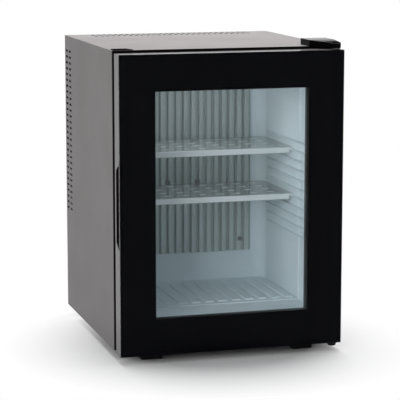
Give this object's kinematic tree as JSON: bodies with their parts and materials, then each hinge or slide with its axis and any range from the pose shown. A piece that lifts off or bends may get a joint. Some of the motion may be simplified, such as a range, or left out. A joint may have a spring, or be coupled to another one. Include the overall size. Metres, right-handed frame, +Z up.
{
  "type": "minibar fridge",
  "caption": "Compact silent minibar fridge with a black-bordered glass door, lift-out slotted shelves, a ribbed cooling plate and a vented grey steel cabinet.",
  "frame": {"origin": "on the floor under the middle of the fridge, halfway between the door's front and the cabinet's back", "axes": "+Z up, -Y out of the front of the door, +X to the right of a person facing the door"},
  "size_m": [0.402, 0.436, 0.548],
  "materials": {
    "cabinet_paint": "satin powder coat",
    "zinc_steel": "zinc-plated",
    "foam": "rigid foam",
    "liner_plastic": "vacuum-formed",
    "shelf_plastic": "clear moulded",
    "black_plastic": "fine grain",
    "grey_plastic": "fine grain",
    "white_plastic": "moulded",
    "aluminium": "extruded",
    "copper": "drawn tube",
    "clear_glass": "polished",
    "black_print": "screen print",
    "gasket_rubber": "matte",
    "magnet": "bonded ferrite",
    "circuit_board": "solder mask",
    "red_insulation": "lead sleeve",
    "nylon": "moulded"
  },
  "bodies": {
    "cabinet": {"left_side_panel": "cabinet_paint", "right_side_panel": "cabinet_paint", "top_panel": "cabinet_paint", "base_panel": "cabinet_paint", "rear_bulkhead": "zinc_steel", "rear_crossbar": "zinc_steel", "upper_hinge_bracket": "zinc_steel", "upper_hinge_pin": "zinc_steel", "upper_hinge_screws": "zinc_steel", "lower_hinge_pin": "zinc_steel", "lower_hinge_screws": "zinc_steel", "cooling_plate_screws": "zinc_steel", "hot_block_screws": "zinc_steel", "fin_brackets": "zinc_steel", "temperature_sensor": "zinc_steel", "insulation_foam": "foam", "inner_liner": "liner_plastic", "top_edge_strip": "black_plastic", "front_left_foot": "black_plastic", "front_right_foot": "black_plastic", "rear_left_foot": "black_plastic", "rear_right_foot": "black_plastic", "lower_hinge_bracket": "black_plastic", "hinge_cover": "black_plastic", "supply_box": "black_plastic", "supply_lid": "black_plastic", "cord_gland": "black_plastic", "left_edge_strip": "black_plastic", "right_edge_strip": "black_plastic", "left_module_lead": "black_plastic", "hinge_blanking_cap": "black_plastic", "right_module_lead": "red_insulation", "peltier_module": "white_plastic", "lamp_housing": "white_plastic", "lamp_lens": "white_plastic", "cooling_plate": "aluminium", "cold_block": "aluminium", "hot_block": "aluminium", "condenser_fins": "aluminium", "heat_pipes": "copper", "circuit_board": "circuit_board", "led_board": "circuit_board"},
    "door": {"outer_glass": "clear_glass", "glass_border_print": "black_print", "glazing_spacer": "black_plastic", "inner_glass": "clear_glass", "door_top_rail": "grey_plastic", "door_bottom_rail": "grey_plastic", "door_left_stile": "grey_plastic", "door_right_stile": "grey_plastic", "finger_pull": "black_plastic", "upper_hinge_bush": "nylon", "lower_hinge_bush": "nylon", "door_gasket": "gasket_rubber", "gasket_magnets": "magnet"},
    "thermostat": {"thermostat_knob": "grey_plastic"},
    "lower_shelf": {"lower_shelf": "shelf_plastic"},
    "upper_shelf": {"upper_shelf": "shelf_plastic"}
  },
  "joints": [
    {"name": "door_hinge", "type": "hinge", "parent": "cabinet", "child": "door", "pos_m": [0.189, -0.2, 0.27375], "axis": [0, 0, 1], "range_deg": [0, 120]},
    {"name": "thermostat_turn", "type": "hinge", "parent": "cabinet", "child": "thermostat", "pos_m": [0.032, -0.034, 0.475], "axis": [0, 0, -1], "range_deg": [0, 240]},
    {"name": "lower_shelf_slide", "type": "slide", "parent": "cabinet", "child": "lower_shelf", "axis": [0, -1, 0], "range_m": [0, 0.1]},
    {"name": "upper_shelf_slide", "type": "slide", "parent": "cabinet", "child": "upper_shelf", "axis": [0, -1, 0], "range_m": [0, 0.1]}
  ]
}
